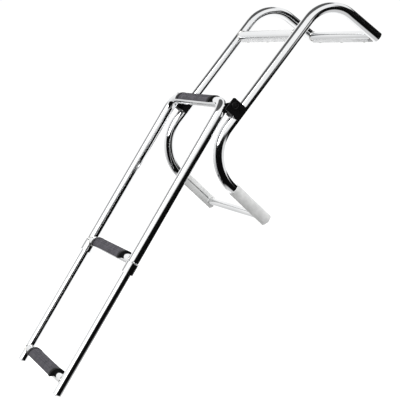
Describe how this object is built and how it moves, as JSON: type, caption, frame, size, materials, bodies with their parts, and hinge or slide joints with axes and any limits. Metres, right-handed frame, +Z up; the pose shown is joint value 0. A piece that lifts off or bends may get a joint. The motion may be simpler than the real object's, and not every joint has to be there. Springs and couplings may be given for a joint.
{
  "type": "boat boarding ladder",
  "caption": "Hook-on boarding ladder of bent steel tube with arched handles, folding on side hinges, and a lower section that slides up.",
  "frame": {"origin": "on the flat underside of the outboard deck pad, at mid width", "axes": "+X across the ladder, +Y inboard over the deck, +Z up; the ladder hangs down and out towards -Y"},
  "size_m": [0.3412, 0.7765, 0.8341],
  "materials": {
    "steel": "polished stainless tube",
    "fastener": "plain stainless",
    "tread_plastic": "dark grey, moulded",
    "black_plastic": "black, moulded",
    "pad_rubber": "light grey, matt",
    "light_plastic": "off-white, moulded"
  },
  "bodies": {
    "hook_frame": {"hook_tube_left": "steel", "hook_tube_right": "steel", "arch_end_plug_left": "light_plastic", "arch_end_plug_right": "light_plastic", "leg_sleeve_left": "pad_rubber", "leg_sleeve_right": "pad_rubber", "outboard_deck_bar": "steel", "inboard_deck_bar": "steel", "hull_cross_bar": "steel", "outboard_deck_pad": "pad_rubber", "inboard_deck_pad": "pad_rubber", "hinge_block_left": "black_plastic", "hinge_block_right": "black_plastic", "hinge_bolt_left": "steel", "hinge_bolt_right": "steel", "hinge_nut_left": "fastener", "hinge_nut_right": "fastener"},
    "ladder_section": {"ladder_hoop": "steel", "hinge_lug_left": "steel", "hinge_lug_right": "steel", "mid_rung": "steel", "top_tread": "tread_plastic", "mid_tread": "tread_plastic", "slide_collar_left": "steel", "slide_collar_right": "steel"},
    "extension": {"extension_stile_left": "steel", "extension_stile_right": "steel", "bottom_rung": "steel", "bottom_tread": "tread_plastic", "guide_bush_left": "light_plastic", "guide_bush_right": "light_plastic", "foot_plug_left": "black_plastic", "foot_plug_right": "black_plastic"}
  },
  "joints": [
    {"name": "fold", "type": "hinge", "parent": "hook_frame", "child": "ladder_section", "pos_m": [0, -0.15782, -0.13821], "axis": [-1, 0, 0], "range_deg": [0, 105]},
    {"name": "telescope", "type": "slide", "parent": "ladder_section", "child": "extension", "axis": [0, 0.5336, 0.8457], "range_m": [0, 0.245]}
  ]
}
